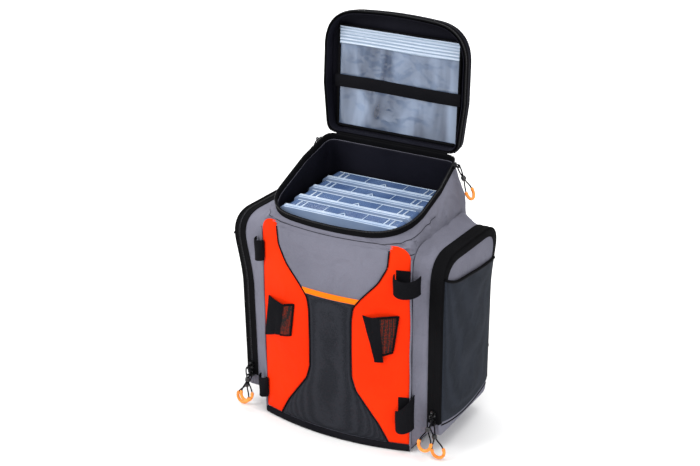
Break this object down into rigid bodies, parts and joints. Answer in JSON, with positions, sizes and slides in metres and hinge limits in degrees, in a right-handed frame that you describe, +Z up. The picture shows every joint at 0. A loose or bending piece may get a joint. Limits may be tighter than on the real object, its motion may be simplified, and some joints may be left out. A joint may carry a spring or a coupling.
{
  "type": "tackle backpack",
  "caption": "Soft fishing backpack with a zipped top lid, front rod loops and tool sheaths, zipped side pockets and upright utility boxes inside.",
  "frame": {"origin": "middle of the tub's footprint, on the ground it stands on", "axes": "+Z up, -Y towards the front with the coloured panels, +X across the pack"},
  "size_m": [0.4544, 0.3144, 0.7379],
  "materials": {
    "black_fabric": "woven, matt",
    "orange_fabric": "coated woven fabric, matt",
    "grey_fabric": "coated woven fabric, matt",
    "light_orange": "coated, satin",
    "dark_mesh": "fine mesh",
    "lining": "light grey woven",
    "foam": "foam",
    "vinyl": "soft clear vinyl",
    "clear_plastic": "clear moulded",
    "slider_metal": "black enamel",
    "cord_black": "braided",
    "grip_orange": "moulded",
    "black_plastic": "moulded",
    "elastic": "woven elastic"
  },
  "bodies": {
    "pack": {"base_panel": "black_fabric", "main_shell": "grey_fabric", "padded_floor": "foam", "main_lining": "lining", "opening_zip_tape": "black_fabric", "front_panel_left": "orange_fabric", "front_panel_right": "orange_fabric", "centre_panel": "dark_mesh", "accent_stripe": "light_orange", "yoke_panel": "grey_fabric", "side_piping": "black_fabric", "rod_loops": "black_fabric", "tool_sheath_left": "black_fabric", "tool_sheath_right": "black_fabric", "back_pad": "dark_mesh", "grab_handle": "black_fabric", "shoulder_strap_left": "black_fabric", "shoulder_strap_right": "black_fabric", "ladder_locks": "black_plastic", "lower_webbing": "black_fabric", "pocket_gusset_left": "grey_fabric", "pocket_gusset_right": "grey_fabric", "pocket_zip_tapes": "black_fabric"},
    "lid": {"lid_shell": "grey_fabric", "lid_zip_tape": "black_fabric", "lid_lining": "lining", "vinyl_pocket": "vinyl", "elastic_band": "elastic"},
    "door_left": {"pocket_door_left": "grey_fabric", "door_zip_tape_left": "black_fabric", "mesh_pocket_left": "dark_mesh"},
    "door_right": {"pocket_door_right": "grey_fabric", "door_zip_tape_right": "black_fabric", "mesh_pocket_right": "dark_mesh"},
    "box_1": {"box_tray_1": "clear_plastic", "box_lid_1": "clear_plastic"},
    "box_2": {"box_tray_2": "clear_plastic", "box_lid_2": "clear_plastic"},
    "box_3": {"box_tray_3": "clear_plastic", "box_lid_3": "clear_plastic"},
    "box_4": {"box_tray_4": "clear_plastic", "box_lid_4": "clear_plastic"},
    "slider_left_upper": {"slider_left_upper": "slider_metal"},
    "puller_left_upper": {"puller_cord_left_upper": "cord_black", "puller_grip_left_upper": "grip_orange"},
    "slider_left_lower": {"slider_left_lower": "slider_metal"},
    "puller_left_lower": {"puller_cord_left_lower": "cord_black", "puller_grip_left_lower": "grip_orange"},
    "slider_lid_left": {"slider_lid_left": "slider_metal"},
    "puller_lid_left": {"puller_cord_lid_left": "cord_black", "puller_grip_lid_left": "grip_orange"},
    "slider_right_upper": {"slider_right_upper": "slider_metal"},
    "puller_right_upper": {"puller_cord_right_upper": "cord_black", "puller_grip_right_upper": "grip_orange"},
    "slider_right_lower": {"slider_right_lower": "slider_metal"},
    "puller_right_lower": {"puller_cord_right_lower": "cord_black", "puller_grip_right_lower": "grip_orange"},
    "slider_lid_right": {"slider_lid_right": "slider_metal"},
    "puller_lid_right": {"puller_cord_lid_right": "cord_black", "puller_grip_lid_right": "grip_orange"}
  },
  "joints": [
    {"name": "lid_hinge", "type": "hinge", "parent": "pack", "child": "lid", "pos_m": [0, 0.093, 0.4975], "axis": [-1, 0, 0], "range_deg": [-111.03, 20]},
    {"name": "door_left_hinge", "type": "hinge", "parent": "pack", "child": "door_left", "pos_m": [-0.191, 0, 0.035], "axis": [0, -1, 0], "range_deg": [0, 85]},
    {"name": "door_right_hinge", "type": "hinge", "parent": "pack", "child": "door_right", "pos_m": [0.191, 0, 0.035], "axis": [0, 1, 0], "range_deg": [0, 85]},
    {"name": "box_1_lift", "type": "slide", "parent": "pack", "child": "box_1", "axis": [0, 0, 1], "range_m": [0, 0.3]},
    {"name": "box_2_lift", "type": "slide", "parent": "pack", "child": "box_2", "axis": [0, 0, 1], "range_m": [0, 0.3]},
    {"name": "box_3_lift", "type": "slide", "parent": "pack", "child": "box_3", "axis": [0, 0, 1], "range_m": [0, 0.3]},
    {"name": "box_4_lift", "type": "slide", "parent": "pack", "child": "box_4", "axis": [0, 0, 1], "range_m": [0, 0.3]},
    {"name": "slider_left_upper_run", "type": "slide", "parent": "pack", "child": "slider_left_upper", "axis": [0, 0, 1], "range_m": [0, 0.2]},
    {"name": "puller_left_upper_swing", "type": "hinge", "parent": "slider_left_upper", "child": "puller_left_upper", "pos_m": [-0.191, -0.113, 0.084], "axis": [-1, 0, 0], "range_deg": [0, 120]},
    {"name": "slider_left_lower_run", "type": "slide", "parent": "pack", "child": "slider_left_lower", "axis": [0, 0, 1], "range_m": [0, 0.005]},
    {"name": "puller_left_lower_swing", "type": "hinge", "parent": "slider_left_lower", "child": "puller_left_lower", "pos_m": [-0.191, -0.1085, 0.066], "axis": [-1, 0, 0], "range_deg": [0, 40]},
    {"name": "slider_right_upper_run", "type": "slide", "parent": "pack", "child": "slider_right_upper", "axis": [0, 0, 1], "range_m": [0, 0.2]},
    {"name": "puller_right_upper_swing", "type": "hinge", "parent": "slider_right_upper", "child": "puller_right_upper", "pos_m": [0.191, -0.113, 0.084], "axis": [-1, 0, 0], "range_deg": [0, 120]},
    {"name": "slider_right_lower_run", "type": "slide", "parent": "pack", "child": "slider_right_lower", "axis": [0, 0, 1], "range_m": [0, 0.005]},
    {"name": "puller_right_lower_swing", "type": "hinge", "parent": "slider_right_lower", "child": "puller_right_lower", "pos_m": [0.191, -0.1085, 0.066], "axis": [-1, 0, 0], "range_deg": [0, 40]},
    {"name": "slider_lid_left_run", "type": "slide", "parent": "pack", "child": "slider_lid_left", "axis": [-0.158, -0.9423, -0.2953], "range_m": [0, 0.045]},
    {"name": "puller_lid_left_swing", "type": "hinge", "parent": "slider_lid_left", "child": "puller_lid_left", "pos_m": [-0.14434, 0.07765, 0.48535], "axis": [0.158, 0.9423, 0.2953], "range_deg": [0, 110]},
    {"name": "slider_lid_right_run", "type": "slide", "parent": "pack", "child": "slider_lid_right", "axis": [0.158, -0.9423, -0.2953], "range_m": [0, 0.045]},
    {"name": "puller_lid_right_swing", "type": "hinge", "parent": "slider_lid_right", "child": "puller_lid_right", "pos_m": [0.14434, 0.07765, 0.48535], "axis": [0.158, -0.9423, -0.2953], "range_deg": [0, 110]}
  ]
}
